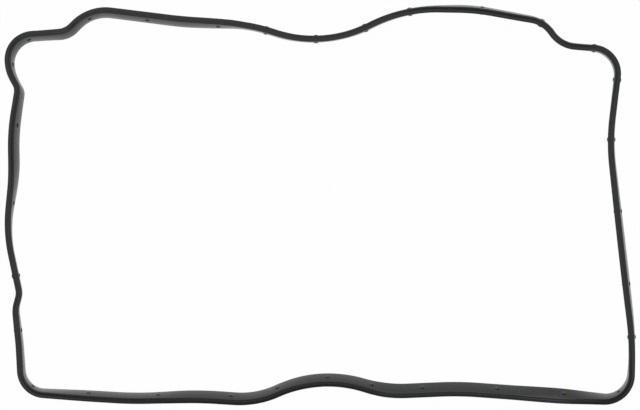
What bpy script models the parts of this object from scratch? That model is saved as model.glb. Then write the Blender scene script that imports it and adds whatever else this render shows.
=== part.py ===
"""Valve cover gasket: one moulded rubber strip, closed into a wavy loop that lies on its edge.

The strip's section is swept round the loop's route. Its top edge has two sealing lips with a shallow
groove between them, its bottom edge is the flat that seats in the cover, and both walls taper from a
parting line at half height. Moulded nubs, in pairs, stand out of the walls and grip the cover's groove.
The strip is limp, so it rolls outwards or inwards along its length as it lies on a flat surface.

Metres, +Z up. The origin is at the middle of the loop's box, on the surface that it lies on.
"""

import math
from typing import NamedTuple

import bmesh
import bpy

MM = 0.001

# The strip's section
STRIP_WIDTH = 4.2 * MM
STRIP_HEIGHT = 10.8 * MM
DRAFT_ANGLE = math.radians(2.0)
EDGE_ROUNDING = 0.4 * MM
LIP_CREST = 0.5 * MM
GROOVE_DEPTH = 0.2 * MM

# The nubs on both walls
NUB_LENGTH = 3.4 * MM
NUB_HEIGHT = 3.4 * MM
NUB_REACH = 0.6 * MM
NUB_TIP_LENGTH = 1.0 * MM

# How finely the sweep follows the route
LONGEST_STEP = 12.0 * MM
WIDEST_TURN = math.radians(9.0)
SHORTEST_STEP = 1.5 * MM

# Edges sharper than this are shaded as edges
SHARP_EDGE = math.radians(40.0)

RUBBER_COLOUR = (0.021, 0.021, 0.022, 1.0)
RUBBER_ROUGHNESS = 0.42


class Corner(NamedTuple):
    """A corner of the route before it is rounded: across, up the cover, and the rounding's radius."""

    across: float
    up: float
    radius: float


# The route, clockwise as seen from above, in millimetres from about the middle of the cover
TOP_CORNERS = (
    Corner(-202.9, 108.9, 16.5),
    Corner(-164.3, 111.5, 14.0),
    Corner(-149.3, 126.8, 27.0),
    Corner(-89.5, 119.3, 250.0),
    Corner(-46.0, 117.2, 115.0),
    Corner(2.3, 102.0, 82.0),
    Corner(54.0, 127.7, 98.0),
    Corner(99.5, 127.8, 130.0),
    Corner(145.0, 119.5, 21.0),
    Corner(156.0, 104.2, 20.0),
)
RIGHT_CORNERS = (
    Corner(194.8, 100.6, 17.0),
    Corner(188.0, 41.5, 135.0),
    Corner(203.1, -90.5, 200.0),
)
BOTTOM_CORNERS = (
    Corner(200.6, -127.0, 17.0),
    Corner(90.0, -119.0, 220.0),
    Corner(43.0, -121.0, 80.0),
    Corner(-1.0, -108.5, 80.0),
    Corner(-41.5, -126.5, 58.0),
    Corner(-79.0, -124.0, 250.0),
    Corner(-121.0, -125.5, 250.0),
)
LEFT_CORNERS = (
    Corner(-193.5, -121.2, 15.5),
    Corner(-195.5, -90.0, 90.0),
    Corner(-198.1, -67.2, 20.0),
    Corner(-195.5, -57.0, 12.0),
    Corner(-204.0, -17.0, 90.0),
    Corner(-199.0, 19.5, 130.0),
    Corner(-199.5, 47.5, 140.0),
    Corner(-195.4, 74.6, 9.0),
    Corner(-201.6, 86.9, 24.0),
)
CORNERS = TOP_CORNERS + RIGHT_CORNERS + BOTTOM_CORNERS + LEFT_CORNERS


class Roll(NamedTuple):
    """How far the top edge leans outwards, in degrees, at a distance round the loop, in millimetres."""

    along: float
    lean: float


# The rolls, from where the rounding of the first corner starts. The strip stands upright where they are zero
TOP_ROLLS = (
    Roll(1, 10), Roll(8, 15), Roll(15, 17.5), Roll(29, 15), Roll(37, 16), Roll(48, 18.5), Roll(71, 15),
    Roll(125, 16.5), Roll(145, 13.5), Roll(157, 8.5), Roll(169, 2.5), Roll(195, 1.5), Roll(205, 0),
    Roll(233, 0), Roll(245, 1.5), Roll(263, 0.5), Roll(295, -7), Roll(315, -11), Roll(349, -10),
    Roll(361, -8),
)
RIGHT_ROLLS = (
    Roll(397, -4), Roll(409, 1), Roll(423, 0), Roll(451, -5), Roll(559, -13), Roll(577, -12),
    Roll(601, -8), Roll(625, -0.5), Roll(637, 7.5),
)
BOTTOM_ROLLS = (
    Roll(661, 23), Roll(685, 40.5), Roll(697, 39), Roll(715, 34.5), Roll(793, 34.5), Roll(811, 28),
    Roll(845, 27), Roll(867, 23), Roll(881, 23), Roll(903, 25.5), Roll(925, 24.5), Roll(951, 18),
    Roll(985, 17.5), Roll(1021, 10),
)
LEFT_ROLLS = (
    Roll(1045, 4), Roll(1069, 1.5), Roll(1093, -3), Roll(1121, -3), Roll(1141, 1), Roll(1165, 11.5),
    Roll(1179, 16.5), Roll(1207, 16.5), Roll(1217, 14.5), Roll(1222, 14),
    Roll(1225.5, 10.5), Roll(1229, 3.5), Roll(1236, 5.5),
)
ROLLS = TOP_ROLLS + RIGHT_ROLLS + BOTTOM_ROLLS + LEFT_ROLLS

# Where each pair of nubs stands, in millimetres round the loop from the same start
NUB_PLACES = (
    22.5, 65.5, 104.5, 150.5, 182, 215, 248, 279, 326, 365.5,
    405.5, 434, 473, 520, 567.5, 602,
    641.5, 679.5, 722.5, 771, 804.5, 833.5, 866, 898, 945, 990.5,
    1028.5, 1068.5, 1104.5, 1152.5, 1203, 1243.5,
)


class Run(NamedTuple):
    """A stretch of the route of one curvature, which is zero on a straight leg."""

    x: float
    y: float
    heading: float
    length: float
    curvature: float

    def at(self, distance):
        """The point and the heading at a distance from the run's start."""
        heading = self.heading + self.curvature * distance
        if self.curvature == 0.0:
            x = self.x + distance * math.cos(heading)
            y = self.y + distance * math.sin(heading)
        else:
            x = self.x + (math.sin(heading) - math.sin(self.heading)) / self.curvature
            y = self.y - (math.cos(heading) - math.cos(self.heading)) / self.curvature
        return x, y, heading


class Station(NamedTuple):
    """A place where the section is set: its point, heading, lean, and how far the nubs stand out there."""

    x: float
    y: float
    heading: float
    lean: float
    nub: float


def route_of(corners):
    """The rounded route as runs: each corner's arc, then the straight leg to the next corner."""
    count = len(corners)
    points = [(corner.across * MM, corner.up * MM) for corner in corners]
    legs, headings = [], []
    for i, (x, y) in enumerate(points):
        next_x, next_y = points[(i + 1) % count]
        legs.append(math.hypot(next_x - x, next_y - y))
        headings.append(math.atan2(next_y - y, next_x - x))
    turns = [
        math.remainder(headings[i] - headings[i - 1], math.tau) for i in range(count)
    ]
    reaches = [
        corner.radius * MM * math.tan(abs(turn) / 2)
        for corner, turn in zip(corners, turns)
    ]
    # A rounding is as large as its two legs leave room for
    fitted = []
    for i, reach in enumerate(reaches):
        before = legs[i - 1] / max(legs[i - 1], reaches[i - 1] + reach)
        after = legs[i] / max(legs[i], reach + reaches[(i + 1) % count])
        fitted.append(reach * min(before, after))
    runs = []
    for i, (x, y) in enumerate(points):
        turn, reach = turns[i], fitted[i]
        if reach > 0.0:
            radius = reach / math.tan(abs(turn) / 2)
            start_x = x - reach * math.cos(headings[i - 1])
            start_y = y - reach * math.sin(headings[i - 1])
            runs.append(
                Run(start_x, start_y, headings[i - 1], radius * abs(turn), math.copysign(1 / radius, turn))
            )
        leg = legs[i] - reach - fitted[(i + 1) % count]
        if leg > 0.0:
            leg_x = x + reach * math.cos(headings[i])
            leg_y = y + reach * math.sin(headings[i])
            runs.append(Run(leg_x, leg_y, headings[i], leg, 0.0))
    return runs


def lean_round(loop_length):
    """A function that gives the lean at a distance round the loop, smooth and with no overshoot."""
    knots = sorted((roll.along * MM % loop_length, math.radians(roll.lean)) for roll in ROLLS)
    first, last = knots[:2], knots[-2:]
    knots = (
        [(along - loop_length, lean) for along, lean in last]
        + knots
        + [(along + loop_length, lean) for along, lean in first]
    )
    slopes = [
        (next_lean - lean) / (next_along - along)
        for (along, lean), (next_along, next_lean) in zip(knots, knots[1:])
    ]

    def tangent(i):
        """The harmonic mean of the slopes on both sides, or level where they point opposite ways."""
        before, after = slopes[i - 1], slopes[i]
        return 2 * before * after / (before + after) if before * after > 0 else 0.0

    def lean_at(along):
        """The lean at one place, from the cubic between the two rolls round it."""
        i = max(k for k in range(1, len(knots) - 2) if knots[k][0] <= along or k == 1)
        span = knots[i + 1][0] - knots[i][0]
        t = (along - knots[i][0]) / span
        return (
            (2 * t**3 - 3 * t**2 + 1) * knots[i][1]
            + (t**3 - 2 * t**2 + t) * span * tangent(i)
            + (3 * t**2 - 2 * t**3) * knots[i + 1][1]
            + (t**3 - t**2) * span * tangent(i + 1)
        )

    return lean_at


def places_round(runs, loop_length):
    """Where the section is set, as (distance round the loop, share of the nubs' reach)."""
    nub_centres = [place * MM % loop_length for place in NUB_PLACES]
    places = []
    for centre in nub_centres:
        for share, half in ((0.0, NUB_LENGTH / 2), (1.0, NUB_TIP_LENGTH / 2)):
            places.append(((centre - half) % loop_length, share))
            places.append(((centre + half) % loop_length, share))
    start = 0.0
    for run in runs:
        turn = abs(run.curvature) * run.length
        steps = math.ceil(max(run.length / LONGEST_STEP, turn / WIDEST_TURN))
        # A run too short for a step is bridged by its neighbours
        for step in range(steps if run.length > SHORTEST_STEP else 0):
            along = start + run.length * step / steps
            gaps = [abs(math.remainder(along - centre, loop_length)) for centre in nub_centres]
            if min(gaps) > NUB_LENGTH / 2 + SHORTEST_STEP:
                places.append((along, 0.0))
        start += run.length
    return sorted(places)


def stations_round(corners):
    """Every station of the sweep, in order round the loop."""
    runs = route_of(corners)
    loop_length = sum(run.length for run in runs)
    lean_at = lean_round(loop_length)
    stations = []
    for along, nub in places_round(runs, loop_length):
        distance, i = along, 0
        while i < len(runs) - 1 and distance >= runs[i].length:
            distance -= runs[i].length
            i += 1
        x, y, heading = runs[i].at(distance)
        stations.append(Station(x, y, heading, lean_at(along), nub))
    return stations


def section(nub):
    """The section's outline as (outwards, up) from its middle, with the nubs standing out by a share."""
    half_width = STRIP_WIDTH / 2
    half_height = STRIP_HEIGHT / 2
    draft = math.tan(DRAFT_ANGLE)
    shoulder = half_height - EDGE_ROUNDING
    edge = half_width - shoulder * draft - EDGE_ROUNDING
    nub_edge = NUB_HEIGHT / 2
    outer_side = [
        (max(edge - LIP_CREST, 0.0), half_height),
        (edge, half_height),
        (half_width - shoulder * draft, shoulder),
        (half_width - nub_edge * draft, nub_edge),
        (half_width + NUB_REACH * nub, 0.0),
        (half_width - nub_edge * draft, -nub_edge),
        (half_width - shoulder * draft, -shoulder),
        (edge, -half_height),
    ]
    inner_side = [(-outwards, up) for outwards, up in reversed(outer_side)]
    return [(0.0, half_height - GROOVE_DEPTH)] + outer_side + inner_side


def ring_at(station):
    """The section's points at a station, leaned, and lowered or raised until it touches the surface."""
    cos_lean, sin_lean = math.cos(station.lean), math.sin(station.lean)
    leaned = [
        (outwards * cos_lean + up * sin_lean, up * cos_lean - outwards * sin_lean)
        for outwards, up in section(station.nub)
    ]
    lowest = min(up for _, up in leaned)
    # The route runs clockwise, so the loop's outside is on its left
    left_x, left_y = -math.sin(station.heading), math.cos(station.heading)
    return [
        (station.x + left_x * outwards, station.y + left_y * outwards, up - lowest)
        for outwards, up in leaned
    ]


def centred(rings):
    """The rings moved level, so that the middle of their box is at the origin."""
    xs = [point[0] for ring in rings for point in ring]
    ys = [point[1] for ring in rings for point in ring]
    middle_x, middle_y = (min(xs) + max(xs)) / 2, (min(ys) + max(ys)) / 2
    return [[(x - middle_x, y - middle_y, z) for x, y, z in ring] for ring in rings]


def rubber():
    """Black moulded rubber with a satin surface."""
    material = bpy.data.materials.new("rubber")
    material.use_nodes = True
    shader = material.node_tree.nodes["Principled BSDF"]
    shader.inputs["Base Color"].default_value = RUBBER_COLOUR
    shader.inputs["Roughness"].default_value = RUBBER_ROUGHNESS
    shader.inputs["Metallic"].default_value = 0.0
    return material


def gasket():
    """The strip, swept round its route and closed on itself."""
    rings = centred([ring_at(station) for station in stations_round(CORNERS)])
    sweep = bmesh.new()
    loops = [[sweep.verts.new(point) for point in ring] for ring in rings]
    for i, loop in enumerate(loops):
        following = loops[(i + 1) % len(loops)]
        for j, vertex in enumerate(loop):
            k = (j + 1) % len(loop)
            sweep.faces.new((vertex, loop[k], following[k], following[j]))
    bmesh.ops.recalc_face_normals(sweep, faces=sweep.faces)
    mesh = bpy.data.meshes.new("valve_cover_gasket")
    sweep.to_mesh(mesh)
    sweep.free()
    mesh.shade_smooth()
    mesh.set_sharp_from_angle(angle=SHARP_EDGE)
    mesh.materials.append(rubber())
    strip = bpy.data.objects.new("valve_cover_gasket", mesh)
    bpy.context.scene.collection.objects.link(strip)
    return strip


def main():
    """Clears the scene and builds the gasket."""
    for thing in list(bpy.data.objects):
        bpy.data.objects.remove(thing, do_unlink=True)
    gasket()


if __name__ == "__main__":
    main()
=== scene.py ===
"""The looks of a valve cover gasket: a moulded rubber strip, closed into a wavy loop that lies on its edge.

The strip is swept round the route of the solid that it stands for. Its section has two sealing lips
with a shallow groove between them, slightly bowed walls with a fine parting line at half height, and
round edges. Small nubs, in pairs, stand out of the walls. The strip is limp, so it rolls outwards or
inwards along its length.
"""

import logging
import math
from dataclasses import dataclass, field
from enum import Enum
from typing import Any, NamedTuple, Union

import bpy
from mathutils import Matrix, Vector


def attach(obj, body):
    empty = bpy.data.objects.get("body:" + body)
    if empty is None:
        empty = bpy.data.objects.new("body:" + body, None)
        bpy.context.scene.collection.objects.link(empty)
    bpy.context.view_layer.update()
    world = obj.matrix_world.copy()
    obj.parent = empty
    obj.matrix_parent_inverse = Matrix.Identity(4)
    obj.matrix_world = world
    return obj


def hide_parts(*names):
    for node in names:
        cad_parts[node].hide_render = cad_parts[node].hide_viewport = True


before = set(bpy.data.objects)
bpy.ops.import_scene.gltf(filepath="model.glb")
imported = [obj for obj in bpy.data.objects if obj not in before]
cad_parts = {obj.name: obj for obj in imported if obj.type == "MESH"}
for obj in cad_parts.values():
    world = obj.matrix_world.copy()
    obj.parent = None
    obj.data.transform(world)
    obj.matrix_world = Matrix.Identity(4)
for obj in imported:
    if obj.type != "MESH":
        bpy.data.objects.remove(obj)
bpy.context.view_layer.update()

MM = 0.001
PIECE = "gasket_rubber"
NODE = "valve_cover_gasket"
BODY = "root"

log = logging.getLogger("gasket")


class Value:
    """A value that a node gives, on which Python's operators add Math nodes."""

    def __init__(self, tree: "Tree", socket: bpy.types.NodeSocket) -> None:
        """Keeps the tree and the socket that the value comes from."""
        self.tree = tree
        self.socket = socket

    def __add__(self, other: "Number") -> "Value":
        """This value plus another."""
        return self.tree.maths("ADD", self, other)

    def __radd__(self, other: "Number") -> "Value":
        """Another value plus this one."""
        return self.tree.maths("ADD", other, self)

    def __sub__(self, other: "Number") -> "Value":
        """This value less another."""
        return self.tree.maths("SUBTRACT", self, other)

    def __rsub__(self, other: "Number") -> "Value":
        """Another value less this one."""
        return self.tree.maths("SUBTRACT", other, self)

    def __mul__(self, other: "Number") -> "Value":
        """This value times another."""
        return self.tree.maths("MULTIPLY", self, other)

    def __truediv__(self, other: "Number") -> "Value":
        """This value divided by another."""
        return self.tree.maths("DIVIDE", self, other)

    def __pow__(self, other: "Number") -> "Value":
        """This value to a power."""
        return self.tree.maths("POWER", self, other)

    def __neg__(self) -> "Value":
        """This value with its sign turned."""
        return self.tree.maths("MULTIPLY", self, -1.0)

    def __abs__(self) -> "Value":
        """This value without its sign."""
        return self.tree.maths("ABSOLUTE", self)

    def __gt__(self, other: "Number") -> "Value":
        """One where this value is above another, and zero elsewhere."""
        return self.tree.maths("GREATER_THAN", self, other)


Number = Union[Value, float]


class Tree:
    """Adds nodes to a shader tree or a geometry tree."""

    def __init__(self, nodes: bpy.types.NodeTree) -> None:
        """Keeps the tree that the nodes go into."""
        self.nodes = nodes

    @staticmethod
    def socket(sockets: Any, key: Union[str, int]) -> bpy.types.NodeSocket:
        """Finds a node's socket.

        Args:
            sockets: The node's inputs or outputs.
            key: The socket's name, of which the one in use is meant, or its number.

        Returns:
            The socket.
        """
        if isinstance(key, int):
            return sockets[key]
        return next(one for one in sockets if one.name == key and one.enabled)

    def node(
        self, kind: str, settings: dict[str, Any], inputs: dict[Union[str, int], Any]
    ) -> bpy.types.Node:
        """Adds one node.

        Args:
            kind: The node's type.
            settings: Its own settings, which are set first.
            inputs: A value or a link for each socket, by name or number.

        Returns:
            The node.
        """
        made = self.nodes.nodes.new(kind)
        for name, setting in settings.items():
            setattr(made, name, setting)
        for key, given in inputs.items():
            socket = self.socket(made.inputs, key)
            if isinstance(given, Value):
                self.nodes.links.new(given.socket, socket)
            else:
                socket.default_value = given
        return made

    def get(
        self,
        kind: str,
        output: Union[str, int],
        settings: dict[str, Any],
        inputs: dict[Union[str, int], Any],
    ) -> Value:
        """Adds one node and reads one of its outputs.

        Args:
            kind: The node's type.
            output: The output's name or number.
            settings: The node's own settings.
            inputs: A value or a link for each socket.

        Returns:
            The output's value.
        """
        return Value(self, self.socket(self.node(kind, settings, inputs).outputs, output))

    def maths(self, operation: str, *operands: Number) -> Value:
        """Adds a Math node.

        Args:
            operation: The node's operation.
            operands: Its values, in order.

        Returns:
            The result.
        """
        return self.get("ShaderNodeMath", "Value", {"operation": operation}, dict(enumerate(operands)))

    def vector(self, x: Number, y: Number, z: Number) -> Value:
        """A vector from its three parts."""
        return self.get("ShaderNodeCombineXYZ", "Vector", {}, {"X": x, "Y": y, "Z": z})

    def parts(self, vector: Value) -> tuple[Value, Value, Value]:
        """The three parts of a vector."""
        made = self.node("ShaderNodeSeparateXYZ", {}, {"Vector": vector})
        return Value(self, made.outputs["X"]), Value(self, made.outputs["Y"]), Value(self, made.outputs["Z"])


class Corner(NamedTuple):
    """A corner of the route before it is rounded, in millimetres from the picture's middle."""

    across: float
    up: float
    radius: float


class Roll(NamedTuple):
    """How far the top edge leans outwards, in degrees, at a distance round the loop, in millimetres."""

    along: float
    lean: float


class Run(NamedTuple):
    """A stretch of the route of one curvature, which is zero on a straight leg."""

    x: float
    y: float
    heading: float
    length: float
    curvature: float

    def at(self, distance: float) -> tuple[float, float]:
        """The point at a distance from the run's start.

        Args:
            distance: Metres from the start.

        Returns:
            The point, across and up the cover.
        """
        heading = self.heading + self.curvature * distance
        if self.curvature == 0.0:
            return self.x + distance * math.cos(heading), self.y + distance * math.sin(heading)
        return (
            self.x + (math.sin(heading) - math.sin(self.heading)) / self.curvature,
            self.y - (math.cos(heading) - math.cos(self.heading)) / self.curvature,
        )


TOP_CORNERS = (
    Corner(-202.9, 108.9, 16.5),
    Corner(-164.3, 111.5, 14.0),
    Corner(-149.3, 126.8, 27.0),
    Corner(-89.5, 119.3, 250.0),
    Corner(-46.0, 117.2, 115.0),
    Corner(2.3, 102.0, 82.0),
    Corner(54.0, 127.7, 98.0),
    Corner(99.5, 127.8, 130.0),
    Corner(145.0, 119.5, 21.0),
    Corner(156.0, 104.2, 20.0),
)
RIGHT_CORNERS = (
    Corner(194.8, 100.6, 17.0),
    Corner(188.0, 41.5, 135.0),
    Corner(203.1, -90.5, 200.0),
)
BOTTOM_CORNERS = (
    Corner(200.6, -127.0, 17.0),
    Corner(90.0, -119.0, 220.0),
    Corner(43.0, -121.0, 80.0),
    Corner(-1.0, -108.5, 80.0),
    Corner(-41.5, -126.5, 58.0),
    Corner(-79.0, -124.0, 250.0),
    Corner(-121.0, -125.5, 250.0),
)
LEFT_CORNERS = (
    Corner(-193.5, -121.2, 15.5),
    Corner(-195.5, -90.0, 90.0),
    Corner(-198.1, -67.2, 20.0),
    Corner(-195.5, -57.0, 12.0),
    Corner(-204.0, -17.0, 90.0),
    Corner(-199.0, 19.5, 130.0),
    Corner(-199.5, 47.5, 140.0),
    Corner(-195.4, 74.6, 9.0),
    Corner(-201.6, 86.9, 24.0),
)
TOP_ROLLS = (
    Roll(1, 10), Roll(8, 15), Roll(15, 17.5), Roll(29, 15), Roll(37, 16), Roll(48, 18.5), Roll(71, 15),
    Roll(125, 16.5), Roll(145, 13.5), Roll(157, 8.5), Roll(169, 2.5), Roll(195, 1.5), Roll(205, 0),
    Roll(233, 0), Roll(245, 1.5), Roll(263, 0.5), Roll(295, -7), Roll(315, -11), Roll(349, -10),
    Roll(361, -8),
)
RIGHT_ROLLS = (
    Roll(397, -4), Roll(409, 1), Roll(423, 0), Roll(451, -5), Roll(559, -13), Roll(577, -12),
    Roll(601, -8), Roll(625, -0.5), Roll(637, 7.5),
)
BOTTOM_ROLLS = (
    Roll(661, 23), Roll(685, 40.5), Roll(697, 39), Roll(715, 34.5), Roll(793, 34.5), Roll(811, 28),
    Roll(845, 27), Roll(867, 23), Roll(881, 23), Roll(903, 25.5), Roll(925, 24.5), Roll(951, 18),
    Roll(985, 17.5), Roll(1021, 10),
)
LEFT_ROLLS = (
    Roll(1045, 4), Roll(1069, 1.5), Roll(1093, -3), Roll(1121, -3), Roll(1141, 1), Roll(1165, 11.5),
    Roll(1179, 16.5), Roll(1207, 16.5), Roll(1217, 14.5), Roll(1222, 14),
    Roll(1225.5, 10.5), Roll(1229, 3.5), Roll(1236, 5.5),
)
NUB_PLACES = (
    22.5, 65.5, 104.5, 150.5, 182, 215, 248, 279, 326, 365.5,
    405.5, 434, 473, 520, 567.5, 602,
    641.5, 679.5, 722.5, 771, 804.5, 833.5, 866, 898, 945, 990.5,
    1028.5, 1068.5, 1104.5, 1152.5, 1203, 1243.5,
)


@dataclass
class Route:
    """The loop's route, its rolls and the places of its nubs."""

    corners: tuple[Corner, ...] = TOP_CORNERS + RIGHT_CORNERS + BOTTOM_CORNERS + LEFT_CORNERS
    rolls: tuple[Roll, ...] = TOP_ROLLS + RIGHT_ROLLS + BOTTOM_ROLLS + LEFT_ROLLS
    nub_places: tuple[float, ...] = NUB_PLACES
    longest_step: float = 1.6 * MM
    widest_turn: float = math.radians(3.0)
    nub_step: float = 0.34 * MM
    runs: list[Run] = field(init=False)
    length: float = field(init=False)

    def __post_init__(self) -> None:
        """Rounds the corners and measures the loop."""
        self.runs = self.rounded()
        self.length = sum(run.length for run in self.runs)

    def rounded(self) -> list[Run]:
        """The route as runs: each corner's arc, then the straight leg to the next corner.

        Returns:
            The runs, in order round the loop.
        """
        count = len(self.corners)
        points = [(corner.across * MM, corner.up * MM) for corner in self.corners]
        legs, headings = [], []
        for i, (x, y) in enumerate(points):
            next_x, next_y = points[(i + 1) % count]
            legs.append(math.hypot(next_x - x, next_y - y))
            headings.append(math.atan2(next_y - y, next_x - x))
        turns = [math.remainder(headings[i] - headings[i - 1], math.tau) for i in range(count)]
        reaches = [
            corner.radius * MM * math.tan(abs(turn) / 2) for corner, turn in zip(self.corners, turns)
        ]
        runs = []
        for i, (x, y) in enumerate(points):
            turn, reach = turns[i], reaches[i]
            start_x = x - reach * math.cos(headings[i - 1])
            start_y = y - reach * math.sin(headings[i - 1])
            radius = self.corners[i].radius * MM
            curvature = math.copysign(1 / radius, turn)
            runs.append(Run(start_x, start_y, headings[i - 1], radius * abs(turn), curvature))
            leg_x = x + reach * math.cos(headings[i])
            leg_y = y + reach * math.sin(headings[i])
            leg = max(legs[i] - reach - reaches[(i + 1) % count], 0.0)
            runs.append(Run(leg_x, leg_y, headings[i], leg, 0.0))
        return runs

    def from_nub(self, along: float) -> float:
        """How far a place is from the nearest nub, in metres."""
        return min(abs(math.remainder(along - place * MM, self.length)) for place in self.nub_places)

    def lean_at(self, along: float) -> float:
        """The lean at one place, on the smooth cubic through the rolls, with no overshoot.

        Args:
            along: Metres round the loop.

        Returns:
            The lean of the top edge outwards, in radians.
        """
        knots = [(roll.along * MM, math.radians(roll.lean)) for roll in self.rolls]
        before = [(place - self.length, lean) for place, lean in knots[-2:]]
        after = [(place + self.length, lean) for place, lean in knots[:2]]
        knots = before + knots + after
        slopes = [(b[1] - a[1]) / (b[0] - a[0]) for a, b in zip(knots, knots[1:])]
        i = max(k for k in range(1, len(knots) - 2) if knots[k][0] <= along or k == 1)
        # The harmonic mean of the slopes on both sides keeps the cubic from overshooting.
        tangents = [
            2 * a * b / (a + b) if a * b > 0 else 0.0 for a, b in (slopes[i - 1 : i + 1], slopes[i : i + 2])
        ]
        span = knots[i + 1][0] - knots[i][0]
        t = (along - knots[i][0]) / span
        return (
            (2 * t**3 - 3 * t**2 + 1) * knots[i][1]
            + (t**3 - 2 * t**2 + t) * span * tangents[0]
            + (3 * t**2 - 2 * t**3) * knots[i + 1][1]
            + (t**3 - t**2) * span * tangents[1]
        )

    def places(self, nub_length: float) -> list[float]:
        """Where the section is set: evenly along each run, and closer together on the nubs.

        Args:
            nub_length: How long a nub is, in metres.

        Returns:
            Distances round the loop, in order.
        """
        reach = nub_length / 2 + self.nub_step
        steps = math.ceil(reach / self.nub_step)
        places = []
        for place in self.nub_places:
            for step in range(-steps, steps + 1):
                places.append((place * MM + step * reach / steps) % self.length)
        start = 0.0
        for run in self.runs:
            turn = abs(run.curvature) * run.length
            count = math.ceil(max(run.length / self.longest_step, turn / self.widest_turn))
            for step in range(count):
                along = start + run.length * step / count
                if self.from_nub(along) > reach + self.nub_step:
                    places.append(along)
            start += run.length
        places.sort()
        kept = [places[0]]
        for place in places[1:]:
            if place - kept[-1] > self.nub_step / 2:
                kept.append(place)
        return kept

    def point_at(self, along: float) -> tuple[float, float]:
        """The route's point at a distance round the loop, in metres."""
        for run in self.runs:
            if along < run.length:
                return run.at(along)
            along -= run.length
        return self.runs[0].at(0.0)

    def guide(self, nub_length: float) -> bpy.types.Object:
        """The route as a closed line of points that carry the lean and the distance from a nub.

        Args:
            nub_length: How long a nub is, in metres.

        Returns:
            The line's object.
        """
        places = self.places(nub_length)
        points = [(*self.point_at(along), 0.0) for along in places]
        edges = [(i, (i + 1) % len(points)) for i in range(len(points))]
        mesh = bpy.data.meshes.new("route")
        mesh.from_pydata(points, edges, [])
        for name, values in (
            ("lean", [self.lean_at(along) for along in places]),
            ("from_nub", [self.from_nub(along) for along in places]),
        ):
            mesh.attributes.new(name, "FLOAT", "POINT").data.foreach_set("value", values)
        guide = bpy.data.objects.new(PIECE, mesh)
        bpy.context.scene.collection.objects.link(guide)
        return guide


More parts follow.
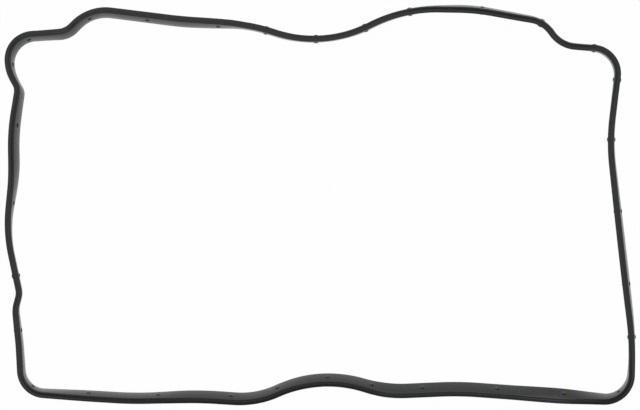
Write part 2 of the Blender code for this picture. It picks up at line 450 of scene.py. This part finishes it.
@dataclass(frozen=True)
class MouldedRubber:
    """Black moulded rubber: satin, with faint flow lines along the strip, a dull bloom and fine scuffs.

    The bloom is left off the nubs, which paints them darker as painted shade. Scales are per metre, and
    heights are in millimetres.
    """

    colour: tuple[float, float, float] = (0.0124, 0.0134, 0.0132)
    bloom_colour: tuple[float, float, float] = (0.0226, 0.0242, 0.0239)
    bloom_share: float = 0.6
    scuff_colour: tuple[float, float, float] = (0.045, 0.047, 0.048)
    scuff_share: float = 0.5
    scuff_scale: float = 420.0
    scuff_detail: float = 5.0
    scuff_level: float = 0.62
    scuff_softness: float = 0.08
    scuff_roughness: float = 0.2
    roughness: float = 0.27
    roughness_spread: float = 0.12
    specular: float = 0.39
    gloss_tint: tuple[float, float, float] = (0.92, 0.96, 1.0)
    bloom_scale: float = 38.0
    bloom_detail: float = 4.0
    grain_scale: float = 1700.0
    grain_detail: float = 2.0
    flow_scale: float = 1400.0
    flow_detail: float = 3.0
    flow_drift: float = 16.0
    grain_height: float = 0.006
    flow_height: float = 0.010
    wall_bow: float = 0.006
    nub_sharpness: float = 0.3
    seam_height: float = 0.05
    seam_width: float = 0.12 * MM

    def noise(self, tree: Tree, place: Value, scale: float, detail: float) -> Value:
        """Even noise from 0 to 1.

        Args:
            tree: The material's tree.
            place: Where it is read.
            scale: How fine it is, per metre.
            detail: How many finer layers it has.

        Returns:
            The noise.
        """
        return tree.get(
            "ShaderNodeTexNoise",
            0,
            {"noise_dimensions": "3D"},
            {"Vector": place, "Scale": scale, "Detail": detail},
        )

    def attribute(self, tree: Tree, name: str) -> Value:
        """A number that the strip's mesh carries."""
        return tree.get("ShaderNodeAttribute", "Fac", {"attribute_name": name}, {})

    def mixed(self, tree: Tree, share: Value, first: Any, second: Any) -> Value:
        """A blend of two colours.

        Args:
            tree: The material's tree.
            share: How much of the second colour there is, from 0 to 1.
            first: The first colour, or a link.
            second: The second colour, or a link.

        Returns:
            The blend.
        """
        return tree.get(
            "ShaderNodeMix", "Result", {"data_type": "RGBA"}, {"Factor": share, "A": first, "B": second}
        )

    def material(self) -> bpy.types.Material:
        """Makes the material.

        Returns:
            The material, with its nodes.
        """
        material = bpy.data.materials.new("moulded_rubber")
        material.use_nodes = True
        material.node_tree.nodes.clear()
        tree = Tree(material.node_tree)
        place = tree.get("ShaderNodeTexCoord", "Object", {}, {})
        x, y, _ = tree.parts(place)
        up = self.attribute(tree, "up")
        outwards = self.attribute(tree, "outwards")
        nub = self.attribute(tree, "nub")
        bloom = self.noise(tree, place, self.bloom_scale, self.bloom_detail)
        grain = self.noise(tree, place, self.grain_scale, self.grain_detail)
        flow_place = tree.vector(
            x * self.flow_drift + outwards * self.flow_scale, y * self.flow_drift, up * self.flow_scale
        )
        flow = self.noise(tree, flow_place, 1.0, self.flow_detail)
        seam = tree.maths("MAXIMUM", 1 - abs(up) / self.seam_width, 0.0)
        speckle = self.noise(tree, place, self.scuff_scale, self.scuff_detail)
        scuffs = (speckle - self.scuff_level) / self.scuff_softness
        scuffs = tree.maths("MINIMUM", tree.maths("MAXIMUM", scuffs, 0.0), 1.0)
        # Leaving the bloom off the nubs paints them darker: this is painted shade on the nubs, while the
        # bloom elsewhere is the rubber's own uneven tone.
        bloom_share = bloom * self.bloom_share * (1 - nub)
        bloom_and_nub_shade = self.mixed(tree, bloom_share, (*self.colour, 1.0), (*self.bloom_colour, 1.0))
        colour = self.mixed(tree, scuffs * self.scuff_share, bloom_and_nub_shade, (*self.scuff_colour, 1.0))
        # Each noise is a half on average, so their sum less one is even about zero.
        unevenness = bloom + flow - 1.0
        roughness = self.roughness + unevenness * self.roughness_spread + scuffs * self.scuff_roughness
        height = (
            grain * self.grain_height
            + flow * self.flow_height
            + seam * self.seam_height
            + nub * self.nub_sharpness
            - (up / MM) ** 2 * self.wall_bow
        )
        normal = tree.get(
            "ShaderNodeBump", "Normal", {}, {"Strength": 1.0, "Distance": MM, "Height": height}
        )
        shader = tree.get(
            "ShaderNodeBsdfPrincipled",
            "BSDF",
            {},
            {
                "Base Color": colour,
                "Roughness": roughness,
                "Specular IOR Level": self.specular,
                "Specular Tint": (*self.gloss_tint, 1.0),
                "Normal": normal,
            },
        )
        tree.node("ShaderNodeOutputMaterial", {}, {"Surface": shader})
        return material


@dataclass(frozen=True)
class Size:
    """A named size that the sweep's tree takes."""

    name: str
    value: float


@dataclass
class Strip:
    """The moulded strip: the sizes of its section and nubs, and the sweep that builds it."""

    route: Route
    width: float = 4.4 * MM
    height: float = 10.8 * MM
    draft: float = math.radians(2.0)
    edge_rounding: float = 0.4 * MM
    lip_crest: float = 0.5 * MM
    groove_depth: float = 0.2 * MM
    nub_length: float = 3.4 * MM
    nub_height: float = 3.4 * MM
    nub_reach: float = 0.6 * MM
    nub_fullness: float = 0.8
    section_step: float = 0.5 * MM
    rounding_points: int = 4
    top_share: float = 0.25
    finish: MouldedRubber = MouldedRubber()

    def sizes(self) -> list[Size]:
        """The sizes that the tree takes as its inputs."""
        return [
            Size("Width", self.width),
            Size("Height", self.height),
            Size("Draft", self.draft),
            Size("Edge rounding", self.edge_rounding),
            Size("Lip crest", self.lip_crest),
            Size("Groove depth", self.groove_depth),
            Size("Nub length", self.nub_length),
            Size("Nub height", self.nub_height),
            Size("Nub reach", self.nub_reach),
            Size("Nub fullness", self.nub_fullness),
            Size("Section step", self.section_step),
        ]

    def section(self, tree: Tree, size: dict[str, Value]) -> Value:
        """The section's closed curve, which carries how far out and how far up each point is.

        Args:
            tree: The sweep's tree.
            size: The tree's named sizes.

        Returns:
            The curve.
        """
        block = tree.get(
            "GeometryNodeCurvePrimitiveQuadrilateral",
            "Curve",
            {"mode": "RECTANGLE"},
            {"Width": size["Width"], "Height": size["Height"]},
        )
        rounded = tree.get(
            "GeometryNodeFilletCurve",
            "Curve",
            {"mode": "POLY"},
            {"Curve": block, "Count": self.rounding_points, "Radius": size["Edge rounding"]},
        )
        here = tree.get("GeometryNodeInputPosition", "Position", {}, {})
        following = tree.get("GeometryNodeOffsetPointInCurve", "Point Index", {}, {"Offset": 1})
        there = tree.get(
            "GeometryNodeFieldAtIndex",
            "Value",
            {"data_type": "FLOAT_VECTOR"},
            {"Value": here, "Index": following},
        )
        gap = tree.get("ShaderNodeVectorMath", "Value", {"operation": "DISTANCE"}, {0: here, 1: there})
        outline = tree.get(
            "GeometryNodeSubdivideCurve", "Curve", {}, {"Curve": rounded, "Cuts": gap / size["Section step"]}
        )
        x, y, _ = tree.parts(here)
        # The sweep lays the section's x inwards and its y downwards.
        outwards, up = -x, -y
        for name, value in (("outwards", outwards), ("up", up)):
            outline = tree.get(
                "GeometryNodeStoreNamedAttribute",
                "Geometry",
                {"data_type": "FLOAT", "domain": "POINT"},
                {"Geometry": outline, "Name": name, "Value": value},
            )
        shoulder = size["Height"] / 2 - size["Edge rounding"]
        taper = shoulder * tree.maths("TANGENT", size["Draft"]) / (size["Width"] / 2)
        narrowed = x * (1 - (y / shoulder) ** 2 * taper)
        lip = size["Width"] / 2 - shoulder * tree.maths("TANGENT", size["Draft"])
        lip = lip - size["Edge rounding"] - size["Lip crest"]
        # The groove is deepest in the middle, and a cosine brings it up to the lips' crests.
        share = tree.maths("MINIMUM", abs(narrowed) / lip, 1.0)
        hollow = (1 + tree.maths("COSINE", share * math.pi)) / 2
        # Only the top face is hollowed, and not the rounding beside it.
        on_top = up > size["Height"] / 2 - size["Edge rounding"] * self.top_share
        sunk = y + hollow * size["Groove depth"] * on_top
        return tree.get(
            "GeometryNodeSetPosition",
            "Geometry",
            {},
            {"Geometry": outline, "Position": tree.vector(narrowed, sunk, 0.0)},
        )

    def lift(self, tree: Tree, size: dict[str, Value], lean: Value) -> Value:
        """How high the section's middle is when the leaning strip touches the floor.

        Args:
            tree: The sweep's tree.
            size: The tree's named sizes.
            lean: The lean there.

        Returns:
            The height.
        """
        shoulder = size["Height"] / 2 - size["Edge rounding"]
        edge = size["Width"] / 2 - shoulder * tree.maths("TANGENT", size["Draft"]) - size["Edge rounding"]
        upright = shoulder * tree.maths("COSINE", lean)
        sideways = edge * abs(tree.maths("SINE", lean))
        return upright + sideways + size["Edge rounding"]

    def named(self, tree: Tree, name: str, kind: str) -> Value:
        """An attribute that the geometry carries.

        Args:
            tree: The sweep's tree.
            name: The attribute's name.
            kind: Its data type.

        Returns:
            The attribute's value.
        """
        return tree.get("GeometryNodeInputNamedAttribute", "Attribute", {"data_type": kind}, {"Name": name})

    def sweep(self) -> bpy.types.NodeTree:
        """Builds the tree that sweeps the section round the route and raises the nubs.

        Returns:
            The geometry tree.
        """
        group = bpy.data.node_groups.new("strip_sweep", "GeometryNodeTree")
        group.interface.new_socket("Geometry", in_out="OUTPUT", socket_type="NodeSocketGeometry")
        group.interface.new_socket("Geometry", in_out="INPUT", socket_type="NodeSocketGeometry")
        for size in self.sizes():
            group.interface.new_socket(size.name, in_out="INPUT", socket_type="NodeSocketFloat")
        group.interface.new_socket("Finish", in_out="INPUT", socket_type="NodeSocketMaterial")
        tree = Tree(group)
        given = tree.node("NodeGroupInput", {}, {})
        size = {one.name: Value(tree, given.outputs[one.name]) for one in self.sizes()}
        lean = self.named(tree, "lean", "FLOAT")
        route = Value(tree, given.outputs["Geometry"])
        line = tree.get("GeometryNodeMeshToCurve", "Curve", {}, {"Mesh": route})
        line = tree.get("GeometryNodeSetCurveNormal", "Curve", {"mode": "Z_UP"}, {"Curve": line})
        line = tree.get("GeometryNodeSetCurveTilt", "Curve", {}, {"Curve": line, "Tilt": -lean})
        line = tree.get(
            "GeometryNodeSetPosition",
            "Geometry",
            {},
            {"Geometry": line, "Offset": tree.vector(0.0, 0.0, self.lift(tree, size, lean))},
        )
        inwards = tree.get("GeometryNodeInputNormal", "Normal", {}, {})
        line = tree.get(
            "GeometryNodeStoreNamedAttribute",
            "Geometry",
            {"data_type": "FLOAT_VECTOR", "domain": "POINT"},
            {"Geometry": line, "Name": "inwards", "Value": inwards},
        )
        strip = tree.get(
            "GeometryNodeCurveToMesh", "Mesh", {}, {"Curve": line, "Profile Curve": self.section(tree, size)}
        )
        past = self.named(tree, "from_nub", "FLOAT") / (size["Nub length"] / 2)
        beside = self.named(tree, "up", "FLOAT") / (size["Nub height"] / 2)
        swell = tree.maths("MAXIMUM", 1 - past * past - beside * beside, 0.0) ** size["Nub fullness"]
        strip = tree.get(
            "GeometryNodeStoreNamedAttribute",
            "Geometry",
            {"data_type": "FLOAT", "domain": "POINT"},
            {"Geometry": strip, "Name": "nub", "Value": swell},
        )
        side = tree.maths("SIGN", self.named(tree, "outwards", "FLOAT"))
        raised = tree.get(
            "ShaderNodeVectorMath",
            "Vector",
            {"operation": "SCALE"},
            {
                "Vector": self.named(tree, "inwards", "FLOAT_VECTOR"),
                "Scale": -(swell * side * size["Nub reach"]),
            },
        )
        strip = tree.get("GeometryNodeSetPosition", "Geometry", {}, {"Geometry": strip, "Offset": raised})
        strip = tree.get(
            "GeometryNodeSetShadeSmooth", "Geometry", {}, {"Geometry": strip, "Shade Smooth": True}
        )
        for name in ("lean", "from_nub", "inwards"):
            strip = tree.get(
                "GeometryNodeRemoveAttribute", "Geometry", {}, {"Geometry": strip, "Name": name}
            )
        strip = tree.get("GeometryNodeRealizeInstances", "Geometry", {}, {"Geometry": strip})
        strip = tree.get(
            "GeometryNodeSetMaterial",
            "Geometry",
            {},
            {"Geometry": strip, "Material": Value(tree, given.outputs["Finish"])},
        )
        tree.node("NodeGroupOutput", {}, {"Geometry": strip})
        return group

    def build(self) -> tuple[bpy.types.Object, Vector]:
        """Builds the strip, with the middle of its box over the frame's origin.

        Returns:
            The strip, and the picture's middle in the frame.
        """
        strip = self.route.guide(self.nub_length)
        group = self.sweep()
        modifier = strip.modifiers.new("sweep", "NODES")
        modifier.node_group = group
        inputs = {
            item.name: item.identifier for item in group.interface.items_tree if item.in_out == "INPUT"
        }
        for size in self.sizes():
            modifier[inputs[size.name]] = size.value
        modifier[inputs["Finish"]] = self.finish.material()
        depsgraph = bpy.context.evaluated_depsgraph_get()
        mesh = bpy.data.meshes.new_from_object(strip.evaluated_get(depsgraph))
        strip.modifiers.clear()
        strip.data = mesh
        xs = [vertex.co.x for vertex in mesh.vertices]
        ys = [vertex.co.y for vertex in mesh.vertices]
        middle = Vector(((min(xs) + max(xs)) / 2, (min(ys) + max(ys)) / 2, 0.0))
        mesh.transform(Matrix.Translation(-middle))
        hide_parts(NODE)
        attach(strip, BODY)
        return strip, -middle


class Ray(Enum):
    """The kinds of ray that see the floor and the backdrop as plain white."""

    CAMERA = "Is Camera Ray"
    GLOSSY = "Is Glossy Ray"
    TRANSMISSION = "Is Transmission Ray"


class Softbox(NamedTuple):
    """A soft lamp: its name, its place, the sides of its face and its power in watts."""

    name: str
    place: tuple[float, float, float]
    across: float
    along: float
    watts: float


@dataclass
class Studio:
    """A pale table top under soft light, with the camera straight above."""

    picture_middle: Vector
    camera_height: float = 2.0
    picture_plane: float = 4.7 * MM
    picture_width: float = 416.0 * MM
    picture_pixels: int = 640
    sensor_width: float = 36.0
    sight: float = 20.0
    floor_side: float = 12.0
    floor_colour: tuple[float, float, float] = (0.86, 0.86, 0.86)
    floor_white: float = 0.98
    room_colour: tuple[float, float, float] = (0.2, 0.2, 0.2)
    softboxes: tuple[Softbox, ...] = (
        Softbox("overhead_softbox", (-0.5, 0.5, 2.3), 3.0, 3.0, 26.0),
        Softbox("far_softbox", (-0.2, 3.0, 0.8), 4.4, 1.6, 42.0),
        Softbox("near_softbox", (0.0, -2.6, 1.1), 4.4, 1.0, 9.0),
    )

    def camera(self) -> None:
        """The camera, straight above, half a pixel off the middle that the route is measured from."""
        data = bpy.data.cameras.new("camera")
        data.sensor_width = self.sensor_width
        data.lens = self.sensor_width * self.camera_height / self.picture_width
        data.clip_end = self.sight
        camera = bpy.data.objects.new("camera", data)
        half_pixel = self.picture_width / self.picture_pixels / 2
        camera.location = (
            self.picture_middle.x - half_pixel,
            self.picture_middle.y + half_pixel,
            self.camera_height + self.picture_plane,
        )
        bpy.context.scene.collection.objects.link(camera)
        bpy.context.scene.camera = camera

    def seen(self, tree: Tree, rays: tuple[Ray, ...]) -> Value:
        """One for the given kinds of ray, and zero for the rest.

        Args:
            tree: The tree of a material or the world.
            rays: The kinds of ray.

        Returns:
            The mask.
        """
        path = tree.node("ShaderNodeLightPath", {}, {})
        mask = Value(tree, path.outputs[rays[0].value])
        for ray in rays[1:]:
            mask = tree.maths("MAXIMUM", mask, Value(tree, path.outputs[ray.value]))
        return mask

    def floor(self) -> None:
        """The table top."""
        half = self.floor_side / 2
        corners = [(-half, -half, 0.0), (half, -half, 0.0), (half, half, 0.0), (-half, half, 0.0)]
        mesh = bpy.data.meshes.new("floor")
        mesh.from_pydata(corners, [], [(0, 1, 2, 3)])
        material = bpy.data.materials.new("pale_table")
        material.use_nodes = True
        material.node_tree.nodes.clear()
        tree = Tree(material.node_tree)
        matt = tree.get("ShaderNodeBsdfDiffuse", "BSDF", {}, {"Color": (*self.floor_colour, 1.0)})
        white = tree.get("ShaderNodeEmission", "Emission", {}, {"Strength": 1.0})
        shown = self.seen(tree, tuple(Ray)) * self.floor_white
        surface = tree.get("ShaderNodeMixShader", "Shader", {}, {"Fac": shown, 1: matt, 2: white})
        tree.node("ShaderNodeOutputMaterial", {}, {"Surface": surface})
        mesh.materials.append(material)
        floor = bpy.data.objects.new("floor", mesh)
        bpy.context.scene.collection.objects.link(floor)

    def room(self) -> None:
        """The room's even light, with a white backdrop where the camera looks past the table."""
        world = bpy.data.worlds.new("room")
        world.use_nodes = True
        world.node_tree.nodes.clear()
        tree = Tree(world.node_tree)
        even = tree.get("ShaderNodeBackground", "Background", {}, {"Color": (*self.room_colour, 1.0)})
        white = tree.get("ShaderNodeBackground", "Background", {}, {"Color": (1.0, 1.0, 1.0, 1.0)})
        shown = self.seen(tree, (Ray.CAMERA, Ray.TRANSMISSION))
        surface = tree.get("ShaderNodeMixShader", "Shader", {}, {"Fac": shown, 1: even, 2: white})
        tree.node("ShaderNodeOutputWorld", {}, {"Surface": surface})
        bpy.context.scene.world = world

    def lamps(self) -> None:
        """The softboxes, each turned to the middle of the table."""
        for box in self.softboxes:
            data = bpy.data.lights.new(box.name, "AREA")
            data.shape = "RECTANGLE"
            data.size = box.across
            data.size_y = box.along
            data.energy = box.watts
            lamp = bpy.data.objects.new(box.name, data)
            lamp.location = box.place
            lamp.rotation_euler = (-Vector(box.place)).to_track_quat("-Z", "Y").to_euler()
            bpy.context.scene.collection.objects.link(lamp)
            log.info("lamp %s: %.0f W", box.name, box.watts)

    def build(self) -> None:
        """Sets up the table, the light and the camera."""
        self.camera()
        self.floor()
        self.room()
        self.lamps()
        bpy.context.scene.view_settings.view_transform = "Standard"


def main() -> None:
    """Builds the strip and the studio."""
    logging.basicConfig(level=logging.INFO, format="%(message)s")
    strip, picture_middle = Strip(Route()).build()
    log.info("strip: %d faces", len(strip.data.polygons))
    Studio(picture_middle).build()


if __name__ == "__main__":
    main()
